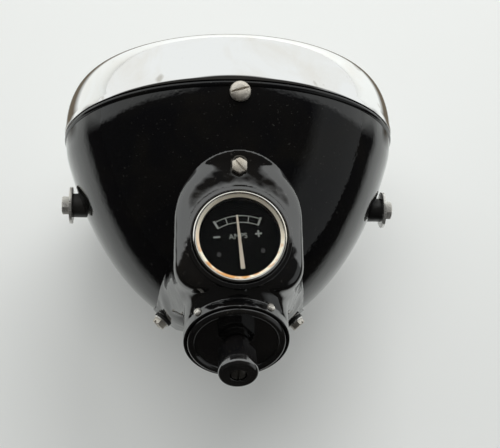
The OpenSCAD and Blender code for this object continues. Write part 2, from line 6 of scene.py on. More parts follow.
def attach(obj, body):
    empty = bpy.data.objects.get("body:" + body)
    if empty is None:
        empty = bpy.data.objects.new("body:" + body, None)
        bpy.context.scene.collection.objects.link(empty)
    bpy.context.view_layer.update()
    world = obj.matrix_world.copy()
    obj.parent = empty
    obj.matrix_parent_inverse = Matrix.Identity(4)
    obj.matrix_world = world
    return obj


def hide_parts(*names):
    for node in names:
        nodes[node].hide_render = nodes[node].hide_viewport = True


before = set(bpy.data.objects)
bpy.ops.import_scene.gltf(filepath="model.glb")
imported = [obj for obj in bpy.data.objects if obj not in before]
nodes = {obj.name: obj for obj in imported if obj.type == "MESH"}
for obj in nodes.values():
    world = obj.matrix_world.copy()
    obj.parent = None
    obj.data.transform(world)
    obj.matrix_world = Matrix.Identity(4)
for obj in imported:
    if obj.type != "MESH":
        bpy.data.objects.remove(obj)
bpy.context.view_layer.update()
print("frame loaded:", len(nodes), "nodes")

# the lamp's own sizes in metres, seen from the rim seat
lamp = {
    "seatY": -0.043, "mouth": 0.1048, "depth": 0.126, "sheet": 0.0012, "power": 1.5,
    "swell": 0.0009, "swellAt": 0.012, "swellWide": 0.011,
    "panelTop": 0.0945, "ammeterY": 0.089, "ammeterTurn": 6.0,
    "switchY": 0.1425, "switchZ": 0.066, "switchSlope": 31.0,
}
millimetre = 0.001
sideways = Vector((1, 0, 0))
toRear = Vector((0, 1, 0))
upward = Vector((0, 0, 1))
seat = Vector((0, lamp["seatY"], 0))
slope = math.radians(lamp["switchSlope"])
switchAxis = Vector((0, math.cos(slope), math.sin(slope)))
switchUp = Vector((0, -math.sin(slope), math.cos(slope)))
switchFace = seat + Vector((0, lamp["switchY"], lamp["switchZ"]))
ammeterSeat = seat + Vector((0, lamp["ammeterY"], lamp["panelTop"]))


# shader groups
def newGroup(name, inputs, outputs):
    group = bpy.data.node_groups.new(name, "ShaderNodeTree")
    for label, value in inputs:
        socket = group.interface.new_socket(name=label, in_out="INPUT", socket_type="NodeSocketFloat")
        socket.default_value = value
    for label in outputs:
        group.interface.new_socket(name=label, in_out="OUTPUT", socket_type="NodeSocketFloat")
    return group, group.nodes.new("NodeGroupInput"), group.nodes.new("NodeGroupOutput")


def mapped(tree, source, fromMin, fromMax, toMin=0.0, toMax=1.0):
    node = tree.nodes.new("ShaderNodeMapRange")
    node.inputs["From Min"].default_value = fromMin
    node.inputs["From Max"].default_value = fromMax
    node.inputs["To Min"].default_value = toMin
    node.inputs["To Max"].default_value = toMax
    tree.links.new(source, node.inputs["Value"])
    return node.outputs["Result"]


def maths(tree, operation, first, second):
    node = tree.nodes.new("ShaderNodeMath")
    node.operation = operation
    for socket, value in zip(node.inputs, (first, second)):
        if isinstance(value, (int, float)):
            socket.default_value = value
        else:
            tree.links.new(value, socket)
    return node.outputs["Value"]


def lengthOf(tree, across, along):
    squares = [maths(tree, "MULTIPLY", side, side) for side in (across, along)]
    return maths(tree, "SQRT", maths(tree, "ADD", *squares), 0.0)


def noiseField(tree, scale, detail=3.0, stretch=None, turn=None, distortion=0.0):
    place = tree.nodes.new("ShaderNodeTexCoord").outputs["Object"]
    if stretch:
        shift = tree.nodes.new("ShaderNodeMapping")
        shift.inputs["Scale"].default_value = stretch
        shift.inputs["Rotation"].default_value = turn or (0, 0, 0)
        tree.links.new(place, shift.inputs["Vector"])
        place = shift.outputs["Vector"]
    field = tree.nodes.new("ShaderNodeTexNoise")
    field.inputs["Detail"].default_value = detail
    field.inputs["Distortion"].default_value = distortion
    tree.links.new(place, field.inputs["Vector"])
    if isinstance(scale, (int, float)):
        field.inputs["Scale"].default_value = scale
    else:
        tree.links.new(scale, field.inputs["Scale"])
    return field.outputs["Fac"]


def scratchGroup():
    group, given, out = newGroup("fineScratches", [("Scale", 60.0), ("Amount", 0.5)], ["Mask"])
    total = None
    for turn in ((0.3, 0.9, 0.2), (1.2, 0.1, 1.9), (0.7, 2.1, 1.1)):
        line = noiseField(group, given.outputs["Scale"], 2.0, (1, 1, 26), turn)
        thin = mapped(group, line, 0.66, 0.72)
        total = thin if total is None else maths(group, "MAXIMUM", total, thin)
    group.links.new(maths(group, "MULTIPLY", total, given.outputs["Amount"]), out.inputs["Mask"])
    return group


def peelGroup():
    group, given, out = newGroup("orangePeel", [("Scale", 300.0), ("Wave", 60.0)], ["Height"])
    fine = noiseField(group, given.outputs["Scale"], 1.0)
    wide = noiseField(group, given.outputs["Wave"], 1.0)
    group.links.new(maths(group, "ADD", maths(group, "MULTIPLY", fine, 0.35), wide), out.inputs["Height"])
    return group


def patchGroup():
    group, given, out = newGroup("agedPatches", [("Scale", 40.0), ("Speck Scale", 900.0)], ["Patches", "Specks"])
    wide = noiseField(group, given.outputs["Scale"], 5.0, distortion=0.6)
    group.links.new(mapped(group, wide, 0.42, 0.66), out.inputs["Patches"])
    dots = noiseField(group, given.outputs["Speck Scale"], 1.0)
    group.links.new(mapped(group, dots, 0.70, 0.78), out.inputs["Specks"])
    return group


groups = {"scratch": scratchGroup(), "peel": peelGroup(), "patch": patchGroup()}


def useGroup(tree, kind, **values):
    node = tree.nodes.new("ShaderNodeGroup")
    node.node_tree = groups[kind]
    for label, value in values.items():
        node.inputs[label.replace("_", " ")].default_value = value
    return node


def blendColour(tree, mask, first, second):
    node = tree.nodes.new("ShaderNodeMix")
    node.data_type = "RGBA"
    for socket, value in ((node.inputs[6], first), (node.inputs[7], second)):
        if isinstance(value, tuple):
            socket.default_value = (*value, 1)
        else:
            tree.links.new(value, socket)
    tree.links.new(mask, node.inputs["Factor"])
    return node.outputs[2]


# every finish of the lamp: two tones, gloss range, ripple, scratches, specks
finishes = {
    "shellEnamel": dict(
        tones=((0.0035, 0.0035, 0.0042), (0.006, 0.0055, 0.005)), rough=(0.035, 0.075),
        peel=(420, 75, 0.12), scratch=(30, 0.10), speck=(0.05, 0.05, 0.045),
    ),
    "panelEnamel": dict(
        ior=2.1, tones=((0.0035, 0.0035, 0.004), (0.007, 0.006, 0.005)), rough=(0.03, 0.08),
        peel=(300, 120, 0.10), scratch=(40, 0.10), speck=(0.06, 0.055, 0.05),
    ),
    "rimChrome": dict(
        tones=((0.89, 0.89, 0.89), (0.84, 0.82, 0.79)), metal=1.0, rough=(0.03, 0.10),
        peel=(60, 18, 0.01), scratch=(26, 0.25), speck=(0.30, 0.26, 0.20),
    ),
    "bezelPlate": dict(
        tones=((0.94, 0.93, 0.90), (0.90, 0.84, 0.72)), metal=1.0, rough=(0.07, 0.20),
        peel=(500, 120, 0.02), scratch=(60, 0.35), speck=(0.25, 0.17, 0.09),
    ),
    "screwPlate": dict(
        tones=((0.74, 0.71, 0.66), (0.56, 0.51, 0.43)), metal=0.65, rough=(0.22, 0.42),
        peel=(900, 300, 0.04), scratch=(120, 0.5), speck=(0.22, 0.18, 0.13),
    ),
    "boltPlate": dict(
        tones=((0.80, 0.79, 0.77), (0.62, 0.60, 0.55)), metal=0.7, rough=(0.16, 0.34),
        peel=(700, 200, 0.03), scratch=(90, 0.5), speck=(0.25, 0.22, 0.18),
    ),
    "darkScrew": dict(
        tones=((0.20, 0.195, 0.18), (0.12, 0.11, 0.10)), metal=0.85, rough=(0.20, 0.35),
        peel=(900, 300, 0.04), scratch=(120, 0.5), speck=(0.22, 0.18, 0.13),
    ),
    "innerSteel": dict(
        tones=((0.56, 0.56, 0.55), (0.40, 0.37, 0.32)), metal=1.0, rough=(0.28, 0.46),
        peel=(700, 200, 0.03), scratch=(80, 0.5), speck=(0.22, 0.18, 0.14),
    ),
    "plainBrass": dict(
        tones=((0.74, 0.58, 0.28), (0.52, 0.38, 0.17)), metal=1.0, rough=(0.20, 0.40),
        peel=(600, 150, 0.02), scratch=(90, 0.4), speck=(0.2, 0.13, 0.06),
    ),
    "mirrorSilver": dict(
        tones=((0.93, 0.94, 0.95), (0.88, 0.89, 0.90)), metal=1.0, rough=(0.02, 0.06),
        peel=(120, 30, 0.002), scratch=(40, 0.08), speck=(0.6, 0.6, 0.6),
    ),
    "blackRubber": dict(
        tones=((0.018, 0.018, 0.018), (0.035, 0.034, 0.032)), rough=(0.55, 0.8),
        peel=(900, 300, 0.06), scratch=(80, 0.2), speck=(0.08, 0.08, 0.07),
    ),
    "dialBlack": dict(
        sheen=0.0, tones=((0.0012, 0.0014, 0.0014), (0.003, 0.003, 0.003)), rough=(0.5, 0.7),
        peel=(1400, 500, 0.01), scratch=(120, 0.1), speck=(0.05, 0.05, 0.05),
    ),
    "scalePaint": dict(
        tones=((0.30, 0.31, 0.29), (0.24, 0.25, 0.23)), rough=(0.5, 0.7),
        peel=(1500, 800, 0.01), scratch=(120, 0.3), speck=(0.2, 0.2, 0.18),
    ),
    "needlePaint": dict(
        tones=((0.50, 0.44, 0.36), (0.40, 0.34, 0.27)), rough=(0.4, 0.6),
        peel=(1500, 600, 0.01), scratch=(150, 0.3), speck=(0.25, 0.2, 0.14),
    ),
    "coverBlack": dict(
        ior=1.9, tones=((0.004, 0.004, 0.0045), (0.010, 0.009, 0.008)), rough=(0.07, 0.16),
        peel=(600, 160, 0.012), scratch=(70, 0.35), speck=(0.08, 0.075, 0.06),
    ),
    "knobBlack": dict(
        ior=2.5, tones=((0.004, 0.004, 0.0045), (0.009, 0.008, 0.008)), rough=(0.05, 0.12),
        peel=(500, 150, 0.012), scratch=(90, 0.4), speck=(0.10, 0.09, 0.07),
    ),
    "switchBrown": dict(
        tones=((0.045, 0.025, 0.018), (0.065, 0.04, 0.03)), rough=(0.3, 0.5),
        peel=(600, 150, 0.02), scratch=(90, 0.2), speck=(0.10, 0.08, 0.06),
    ),
    "spacerBlack": dict(
        tones=((0.012, 0.012, 0.012), (0.03, 0.028, 0.026)), rough=(0.30, 0.5),
        peel=(600, 200, 0.03), scratch=(90, 0.3), speck=(0.1, 0.09, 0.08),
    ),
}


finishPlan = {"patchScale": 35.0, "speckFiner": 1.6, "speckShare": 0.5, "scratchDepth": 0.15}


def makeFinish(name):
    plan = finishes[name]
    peelScale, peelWave, peelDepth = plan["peel"]
    scratchScale, scratchAmount = plan["scratch"]
    low, high = plan["rough"]
    material = bpy.data.materials.new(name)
    material.use_nodes = True
    tree = material.node_tree
    shader = tree.nodes["Principled BSDF"]
    shader.inputs["Metallic"].default_value = plan.get("metal", 0.0)
    shader.inputs["IOR"].default_value = plan.get("ior", 1.5)
    shader.inputs["Specular IOR Level"].default_value = plan.get("sheen", 0.5)
    speckScale = peelScale * finishPlan["speckFiner"]
    patches = useGroup(tree, "patch", Scale=finishPlan["patchScale"], Speck_Scale=speckScale)
    scratches = useGroup(tree, "scratch", Scale=scratchScale, Amount=scratchAmount)
    peel = useGroup(tree, "peel", Scale=peelScale, Wave=peelWave)
    toned = blendColour(tree, patches.outputs["Patches"], *plan["tones"])
    specks = maths(tree, "MULTIPLY", patches.outputs["Specks"], finishPlan["speckShare"])
    tree.links.new(blendColour(tree, specks, toned, plan["speck"]), shader.inputs["Base Color"])
    gloss = mapped(tree, patches.outputs["Patches"], 0, 1, low, high)
    dulled = maths(tree, "MULTIPLY", scratches.outputs["Mask"], high)
    tree.links.new(maths(tree, "ADD", gloss, dulled), shader.inputs["Roughness"])
    relief = tree.nodes.new("ShaderNodeBump")
    relief.inputs["Strength"].default_value = 1.0
    relief.inputs["Distance"].default_value = peelDepth * millimetre
    grooves = maths(tree, "MULTIPLY", scratches.outputs["Mask"], finishPlan["scratchDepth"])
    tree.links.new(maths(tree, "SUBTRACT", peel.outputs["Height"], grooves), relief.inputs["Height"])
    tree.links.new(relief.outputs["Normal"], shader.inputs["Normal"])
    return material


materials = {name: makeFinish(name) for name in finishes}

# the bezel's inner band is partly worn plating and partly painted sheen: a less metallic warm cream, browner toward
# the rear
bandPlan = {
    "from": 0.0241, "to": 0.0244, "rearFrom": -0.006, "rearTo": 0.016,
    "wearAndSheenScale": 150.0, "wearAndSheenFrom": 0.46, "wearAndSheenTo": 0.54,
    "cream": (0.93, 0.86, 0.70), "brown": (0.72, 0.36, 0.13), "metal": 0.55, "rough": 0.32,
}
tree = materials["bezelPlate"].node_tree
shader = tree.nodes["Principled BSDF"]
shift = tree.nodes.new("ShaderNodeMapping")
shift.inputs["Location"].default_value = -ammeterSeat
tree.links.new(tree.nodes.new("ShaderNodeTexCoord").outputs["Object"], shift.inputs["Vector"])
parts = tree.nodes.new("ShaderNodeSeparateXYZ")
tree.links.new(shift.outputs["Vector"], parts.inputs[0])
offAxis = lengthOf(tree, parts.outputs["X"], parts.outputs["Y"])
band = mapped(tree, offAxis, bandPlan["from"], bandPlan["to"], 1, 0)
wearAndSheenNoise = noiseField(tree, bandPlan["wearAndSheenScale"], 2.0, distortion=0.4)
wearAndSheenPatches = mapped(tree, wearAndSheenNoise, bandPlan["wearAndSheenFrom"], bandPlan["wearAndSheenTo"])
rearward = mapped(tree, parts.outputs["Y"], bandPlan["rearFrom"], bandPlan["rearTo"])
brownShare = maths(tree, "MULTIPLY", wearAndSheenPatches, rearward)
# painted sheen mixed with worn plating: cream band with brown patches toward the rear
warm = blendColour(tree, brownShare, bandPlan["cream"], bandPlan["brown"])
plated = shader.inputs["Base Color"].links[0].from_socket
tree.links.new(blendColour(tree, band, plated, warm), shader.inputs["Base Color"])
tree.links.new(mapped(tree, band, 0, 1, 1.0, bandPlan["metal"]), shader.inputs["Metallic"])
smooth = shader.inputs["Roughness"].links[0].from_socket
bandRough = maths(tree, "MULTIPLY", band, bandPlan["rough"])
tree.links.new(maths(tree, "MAXIMUM", smooth, bandRough), shader.inputs["Roughness"])


def makeGlass(name, tint, ior, rough):
    material = bpy.data.materials.new(name)
    material.use_nodes = True
    tree = material.node_tree
    shader = tree.nodes["Principled BSDF"]
    shader.inputs["Base Color"].default_value = (*tint, 1)
    shader.inputs["Transmission Weight"].default_value = 1.0
    shader.inputs["IOR"].default_value = ior
    if rough:
        dust = useGroup(tree, "patch", Scale=60.0, Speck_Scale=1200.0)
        tree.links.new(mapped(tree, dust.outputs["Patches"], 0, 1, 0.0, rough), shader.inputs["Roughness"])
    else:
        shader.inputs["Roughness"].default_value = 0.0
    shadow = tree.nodes.new("ShaderNodeLightPath").outputs["Is Shadow Ray"]
    tree.links.new(maths(tree, "SUBTRACT", 1.0, shadow), shader.inputs["Alpha"])
    return material


# tint, refraction and the roughness of the dustiest patches
glasses = {
    "lensGlass": ((0.95, 0.985, 0.975), 1.5, 0.03),
    "dialGlass": ((0.99, 0.995, 0.99), 1.15, 0.0),
    "bulbGlass": ((0.98, 0.985, 0.99), 1.12, 0.02),
}
for name, plan in glasses.items():
    materials[name] = makeGlass(name, *plan)
print("finishes made:", len(materials))


# modelling helpers
def onlySelect(piece):
    bpy.ops.object.select_all(action="DESELECT")
    piece.select_set(True)
    bpy.context.view_layer.objects.active = piece


def settle(piece, name, finish, replaced=(), body="lamp", angle=30):
    onlySelect(piece)
    bpy.ops.object.transform_apply(location=True, rotation=True, scale=True)
    bpy.ops.object.shade_smooth_by_angle(angle=math.radians(angle))
    piece.name = piece.data.name = name
    piece.data.materials.clear()
    piece.data.materials.append(materials[finish])
    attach(piece, body)
    if replaced:
        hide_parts(*replaced)
    return piece


def useModifier(piece, kind, **values):
    onlySelect(piece)
    step = piece.modifiers.new(kind.lower(), kind)
    for label, value in values.items():
        setattr(step, label, value)
    bpy.ops.object.modifier_apply(modifier=step.name)


def joinInto(piece, others):
    bpy.ops.object.select_all(action="DESELECT")
    for part in (*others, piece):
        part.select_set(True)
    bpy.context.view_layer.objects.active = piece
    bpy.ops.object.join()


def ramp(value, start, width):
    return min(1.0, max(0.0, (value - start) / width))


def arcPoints(centreR, centreH, radius, start, end, count):
    angles = [math.radians(start + (end - start) * i / count) for i in range(count + 1)]
    return [(centreR + radius * math.cos(a), centreH + radius * math.sin(a)) for a in angles]


# profile points are (radius, height) along the axis
def turned(profile, origin, axis, side, steps=160):
    points = [origin + side * r + axis * h for r, h in profile]
    bpy.ops.object.select_all(action="DESELECT")
    bpy.ops.mesh.primitive_plane_add(size=0.002, location=points[0])
    bpy.ops.object.mode_set(mode="EDIT")
    bpy.ops.mesh.select_mode(type="VERT")
    bpy.ops.mesh.select_all(action="SELECT")
    bpy.ops.mesh.merge(type="CENTER")
    for here, there in zip(points, points[1:]):
        bpy.ops.mesh.extrude_region_move(TRANSFORM_OT_translate={"value": there - here})
    bpy.ops.mesh.select_all(action="SELECT")
    bpy.ops.mesh.spin(steps=steps, angle=2 * math.pi, center=origin, axis=axis)
    bpy.ops.mesh.select_all(action="SELECT")
    bpy.ops.mesh.remove_doubles(threshold=0.000004)
    bpy.ops.mesh.normals_make_consistent(inside=False)
    bpy.ops.object.mode_set(mode="OBJECT")
    return bpy.context.object


def copyOf(node):
    piece = bpy.data.objects.new(node + "Copy", nodes[node].data.copy())
    bpy.context.scene.collection.objects.link(piece)
    onlySelect(piece)
    bpy.ops.object.mode_set(mode="EDIT")
    bpy.ops.mesh.select_all(action="SELECT")
    bpy.ops.mesh.remove_doubles(threshold=0.000002)
    bpy.ops.object.mode_set(mode="OBJECT")
    return piece


def cutAway(piece, cutters, operation="DIFFERENCE"):
    for cutter in cutters:
        onlySelect(piece)
        step = piece.modifiers.new("cut", "BOOLEAN")
        step.operation = operation
        step.solver = "EXACT"
        step.object = cutter
        bpy.ops.object.modifier_apply(modifier=step.name)
        bpy.data.objects.remove(cutter, do_unlink=True)


def pin(radius, length, centre, axis, vertices=64):
    bpy.ops.object.select_all(action="DESELECT")
    turn = axis.to_track_quat("Z", "Y").to_euler()
    bpy.ops.mesh.primitive_cylinder_add(vertices=vertices, radius=radius, depth=length, location=centre, rotation=turn)
    bpy.ops.object.transform_apply(location=True, rotation=True, scale=True)
    return bpy.context.object


# the bowl swells a little just behind its mouth
def shellRadius(y, grow=0.0):
    depth = lamp["depth"] + grow
    swell = lamp["swell"] * math.exp(-((y - lamp["swellAt"]) / lamp["swellWide"]) ** 2) if y > 0 else 0.0
    curve = math.sqrt(max(0.0, 1 - (max(0.0, y) / depth) ** lamp["power"]))
    return (lamp["mouth"] + grow) * curve + swell


def shellCurve(grow, start, count):
    depth = lamp["depth"] + grow
    heights = [depth - (depth - start) * (1 - i / count) ** 2 for i in range(count + 1)]
    return [(shellRadius(y, grow), y) for y in heights]


# shell
shellPlan = {
    "bead": 0.0018, "beadMid": 0.1042, "rings": 70, "steps": 240, "wiringHole": 0.009, "wiringY": 0.084,
    "panelHole": 0.0284, "panelHoleAt": (0, 0.075, 0.065), "boltHole": 0.0033,
}
profile = [(lamp["mouth"] - lamp["sheet"], 0.0)]
profile += arcPoints(shellPlan["beadMid"], shellPlan["bead"], shellPlan["bead"], -90, 80, 12)
profile += shellCurve(0.0, 0.004, shellPlan["rings"])
profile += shellCurve(-lamp["sheet"], 0.003, shellPlan["rings"])[::-1]
profile += profile[:1]
shell = turned(profile, seat, toRear, upward, shellPlan["steps"])
holeY = shellPlan["wiringY"]
lean = math.atan((shellRadius(holeY - 0.001) - shellRadius(holeY + 0.001)) / 0.002)
holeAxis = Vector((0, math.sin(lean), -math.cos(lean)))
holeCentre = seat + Vector((0, holeY, -shellRadius(holeY)))
cutAway(shell, [
    pin(shellPlan["wiringHole"], 0.02, holeCentre, holeAxis),
    pin(shellPlan["panelHole"], 0.09, seat + Vector(shellPlan["panelHoleAt"]), upward),
    pin(shellPlan["boltHole"], 0.30, Vector((0, 0, 0)), sideways),
])
settle(shell, "bowlShell", "shellEnamel", ["shell"])
print("shell done")

# rim
rimPlan = {
    "depth": 0.0345, "outer": 0.1066, "opening": 0.090, "sheet": 0.0009, "power": 2.4, "ease": 0.9,
    "lip": 0.0012, "roll": 0.0006, "rollOver": 0.003, "flangeIn": 0.098, "flange": 0.001, "steps": 48,
}


def rimCurve(grow):
    deep = rimPlan["depth"] + grow
    inner = rimPlan["opening"] + rimPlan["lip"]
    points = []
    for i in range(rimPlan["steps"] + 1):
        far = deep * math.sin(math.radians(90 * i / rimPlan["steps"])) ** rimPlan["ease"]
        rest = max(0.0, 1 - (far / deep) ** rimPlan["power"])
        roll = rimPlan["roll"] * (1 - math.exp(-far / rimPlan["rollOver"]))
        points.append((inner + (rimPlan["outer"] + grow - inner) * math.sqrt(rest) - roll, -far))
    return points


opening, deep, outer = rimPlan["opening"], rimPlan["depth"], rimPlan["outer"]
flangeIn, flange = rimPlan["flangeIn"], rimPlan["flange"]
profile = [(flangeIn, 0.0), (outer - 0.0006, 0.0)]
profile += [(r, h) for r, h in rimCurve(0.0) if h < -0.0003]
profile += [(opening + 0.0004, -deep + 0.0001), (opening, -deep + 0.0013), (opening + 0.0024, -deep + 0.0015)]
profile += rimCurve(-rimPlan["sheet"])[::-1]
profile += [(outer - rimPlan["sheet"], -flange), (flangeIn, -flange), (flangeIn, 0.0)]
rim = turned(profile, seat, toRear, upward, 240)
settle(rim, "frontRim", "rimChrome", ["rim"])
print("rim done")

# lens, with upright flutes on its inner side
lensPlan = {
    "radius": 0.0924, "front": 0.0330, "thick": 0.003, "bulge": 0.007, "edge": 0.003,
    "flute": 0.0085, "fluteDepth": 0.0007, "fluteFade": 0.004, "cells": 150,
}
radius, bulge = lensPlan["radius"], lensPlan["bulge"]
ball = (radius ** 2 + bulge ** 2) / (2 * bulge)
edge = radius - lensPlan["edge"]


def domeY(place):
    r = min(edge, math.hypot(place.x, place.z))
    drop = ball - math.sqrt(ball ** 2 - r ** 2)
    full = ball - math.sqrt(ball ** 2 - edge ** 2)
    return seat.y - lensPlan["front"] - (full - drop)


bpy.ops.object.select_all(action="DESELECT")
bpy.ops.mesh.primitive_grid_add(
    x_subdivisions=lensPlan["cells"], y_subdivisions=lensPlan["cells"], size=2 * radius + 0.004,
    location=seat, rotation=(math.radians(90), 0, 0),
)
bpy.ops.object.transform_apply(location=True, rotation=True, scale=True)
lens = bpy.context.object
for point in lens.data.vertices:
    point.co.y = domeY(point.co)
useModifier(lens, "SOLIDIFY", thickness=lensPlan["thick"], offset=-1)
inner = [p for p in lens.data.vertices if p.co.y > domeY(p.co) + lensPlan["thick"] * 0.5]
for point in inner:
    r = math.hypot(point.co.x, point.co.z)
    fade = ramp(edge - lensPlan["edge"] - r, 0.0, lensPlan["fluteFade"])
    wave = abs(math.sin(math.pi * point.co.x / lensPlan["flute"]))
    point.co.y -= fade * lensPlan["fluteDepth"] * (1 - wave)
cutAway(lens, [pin(radius, 0.08, seat + Vector((0, -0.03, 0)), toRear, 180)], "INTERSECT")
settle(lens, "frontGlass", "lensGlass", ["lens_glass"])
print("lens done")

# mirror bowl, with holes for the main bulb and the side light
mirrorPlan = {
    "radius": 0.0846, "depth": 0.060, "front": 0.028, "hole": 0.0175, "sheet": 0.0008, "backShare": 1.6,
    "flange": 0.0924, "steps": 40, "sideHole": 0.006, "sideDrop": 0.032,
}
mirrorRim, sheet, front = mirrorPlan["radius"], mirrorPlan["sheet"], -mirrorPlan["front"]
focus = mirrorRim ** 2 / (4 * mirrorPlan["depth"])


def mirrorBack(r):
    return front + mirrorPlan["depth"] - r * r / (4 * focus)


steps = mirrorPlan["steps"]
radii = [mirrorRim - (mirrorRim - mirrorPlan["hole"]) * i / steps for i in range(steps + 1)]
profile = [(mirrorPlan["flange"], front), (mirrorPlan["flange"], front + sheet)]
profile += [(r, mirrorBack(r) + sheet * mirrorPlan["backShare"]) for r in radii]
profile += [(r, mirrorBack(r)) for r in radii[::-1]]
profile += profile[:1]
mirror = turned(profile, seat, toRear, upward, 200)
cutAway(mirror, [pin(mirrorPlan["sideHole"], 0.12, seat + Vector((0, 0, -mirrorPlan["sideDrop"])), toRear)])
settle(mirror, "mirrorBowl", "mirrorSilver", ["mirror_bowl"])
print("mirror done")

# panel: hulls of balls (x, y, z, radius) blend the hood into its skirts and tube,
# and the rounding fades in over (start, width) beyond the seats that stay true
panelPlan = {
    "blend": [
        (0.0295, 0.0585, 0.0820, 0.0065), (0.0245, 0.0660, 0.0760, 0.0070), (0.0254, 0.0800, 0.0540, 0.0045),
        (0.0385, 0.0640, 0.0120, 0.0055), (0.0330, 0.0400, 0.0700, 0.0030),
    ],
    "voxel": 0.0006, "relax": 7, "rounding": 200, "ear": (0.0405, 0.0730, 0.0), "hoodZ": 0.08, "tubeR": 0.0305,
    "offShell": (0.0015, 0.003), "offAmmeter": (0.0292, 0.0015), "offMouth": (0.008, 0.006), "offEar": (0.0105, 0.004),
    "wave": 0.00014, "waveSize": 90.0, "chop": 0.00006, "chopSize": 260.0,
    "ringFrom": 0.0264, "ringTo": 0.0296, "ringCrest": 0.0272, "ringHigh": 0.0014, "ringFall": 0.45,
}
panel = copyOf("panel")


def ballHull(balls):
    bpy.ops.object.select_all(action="DESELECT")
    made = []
    for place, size in balls:
        bpy.ops.mesh.primitive_uv_sphere_add(segments=24, ring_count=12, radius=size, location=place)
        made.append(bpy.context.object)
    joinInto(made[-1], made[:-1])
    bpy.ops.object.transform_apply(location=True, rotation=True, scale=True)
    bpy.ops.object.mode_set(mode="EDIT")
    bpy.ops.mesh.select_all(action="SELECT")
    bpy.ops.mesh.convex_hull()
    bpy.ops.mesh.normals_make_consistent(inside=False)
    bpy.ops.object.mode_set(mode="OBJECT")
    return bpy.context.object


blends = []
for side in (-1, 1):
    blend = ballHull([(Vector((side * x, y, z)), size) for x, y, z, size in panelPlan["blend"]])
    bowlCurve = [(0.0, -0.001), (lamp["mouth"], -0.001)] + shellCurve(0.0003, 0.002, 30)[::-1]
    cutAway(blend, [turned(bowlCurve, seat, toRear, upward, 120)])
    blends.append(blend)
joinInto(panel, blends)
useModifier(panel, "REMESH", mode="VOXEL", voxel_size=panelPlan["voxel"], adaptivity=0.0)
useModifier(panel, "SMOOTH", factor=0.5, iterations=panelPlan["relax"])
soft = panel.vertex_groups.new(name="soft")
earX, earY, earZ = panelPlan["ear"]
earSeat = [Vector((side * earX, earY, earZ)) for side in (-1, 1)]
for point in panel.data.vertices:
    place = point.co
    offAmmeter = math.hypot(place.x, place.y - ammeterSeat.y)
    fromFace = place - switchFace
    alongTube = fromFace.dot(switchAxis)
    offTube = (fromFace - switchAxis * alongTube).length
    offShell = math.hypot(place.x, place.z) - shellRadius(place.y - seat.y)
    weight = ramp(offShell, *panelPlan["offShell"])
    if place.z > panelPlan["hoodZ"]:
        weight *= ramp(offAmmeter, *panelPlan["offAmmeter"])
    if offTube < panelPlan["tubeR"]:
        weight *= ramp(-alongTube, *panelPlan["offMouth"])
    for ear in earSeat:
        weight *= ramp((place - ear).length, *panelPlan["offEar"])
    if weight > 0:
        soft.add([point.index], weight, "REPLACE")
useModifier(panel, "SMOOTH", factor=0.5, iterations=panelPlan["rounding"], vertex_group="soft")
outward = [point.normal.copy() for point in panel.data.vertices]
for point, way in zip(panel.data.vertices, outward):
    place = point.co
    ripple = panelPlan["wave"] * noise.noise(place * panelPlan["waveSize"])
    point.co = place + way * (ripple + panelPlan["chop"] * noise.noise(place * panelPlan["chopSize"]))
    offAmmeter = math.hypot(place.x, place.y - ammeterSeat.y)
    if place.z > lamp["panelTop"] and panelPlan["ringFrom"] < offAmmeter < panelPlan["ringTo"]:
        crest = panelPlan["ringHigh"] - panelPlan["ringFall"] * max(0.0, offAmmeter - panelPlan["ringCrest"])
        point.co.z = min(point.co.z, lamp["panelTop"] + max(0.0, crest))
collarPlan = {
    "inner": 0.02675, "outer": 0.0293, "foot": -0.0004,
    "innerBead": (0.02715, 0.0015, 0.0004), "outerBead": (0.0288, 0.0008, 0.0005),
}
collar = [(collarPlan["inner"], collarPlan["foot"])]
collar += arcPoints(*collarPlan["innerBead"], 180, 70, 4) + arcPoints(*collarPlan["outerBead"], 70, 0, 5)
collar += [(collarPlan["outer"], collarPlan["foot"]), (collarPlan["inner"], collarPlan["foot"])]
collarRing = turned(collar, ammeterSeat, upward, sideways, 128)
lipPlan = {
    "inner": 0.0286, "outer": 0.0299, "foot": -0.006, "top": -0.0009,
    "innerBead": (0.0290, -0.0009, 0.0004), "outerBead": (0.0294, -0.0010, 0.0005),
}
lip = [(lipPlan["inner"], lipPlan["foot"]), (lipPlan["inner"], lipPlan["top"])]
lip += arcPoints(*lipPlan["innerBead"], 180, 90, 3) + arcPoints(*lipPlan["outerBead"], 90, 0, 4)
lip += [(lipPlan["outer"], lipPlan["foot"]), (lipPlan["inner"], lipPlan["foot"])]
lipRing = turned(lip, switchFace, switchAxis, sideways, 128)
joinInto(panel, [collarRing, lipRing])
settle(panel, "instrumentPanel", "panelEnamel", ["panel"], angle=50)
print("panel done:", len(panel.data.polygons))

# ammeter bezel
bezelPlan = {"outer": 0.02585, "wall": 0.0237, "opening": 0.0225, "under": 0.0016, "bead": 0.0009, "beadZ": 0.0026}
outer, wall, bead = bezelPlan["outer"], bezelPlan["wall"], bezelPlan["bead"]
opening, under = bezelPlan["opening"], bezelPlan["under"]
profile = [(wall, 0.0), (outer, 0.0)] + arcPoints(outer - bead, bezelPlan["beadZ"], bead, 0, 115, 10)
profile += [(outer - 0.0015, 0.0031), (outer - 0.0022, 0.0026), (0.0228, 0.0022), (opening, 0.0020)]
profile += [(opening, under), (wall, under), (wall, 0.0)]
bezel = turned(profile, ammeterSeat, upward, sideways, 160)
settle(bezel, "ammeterBezel", "bezelPlate", ["ammeter_bezel"])

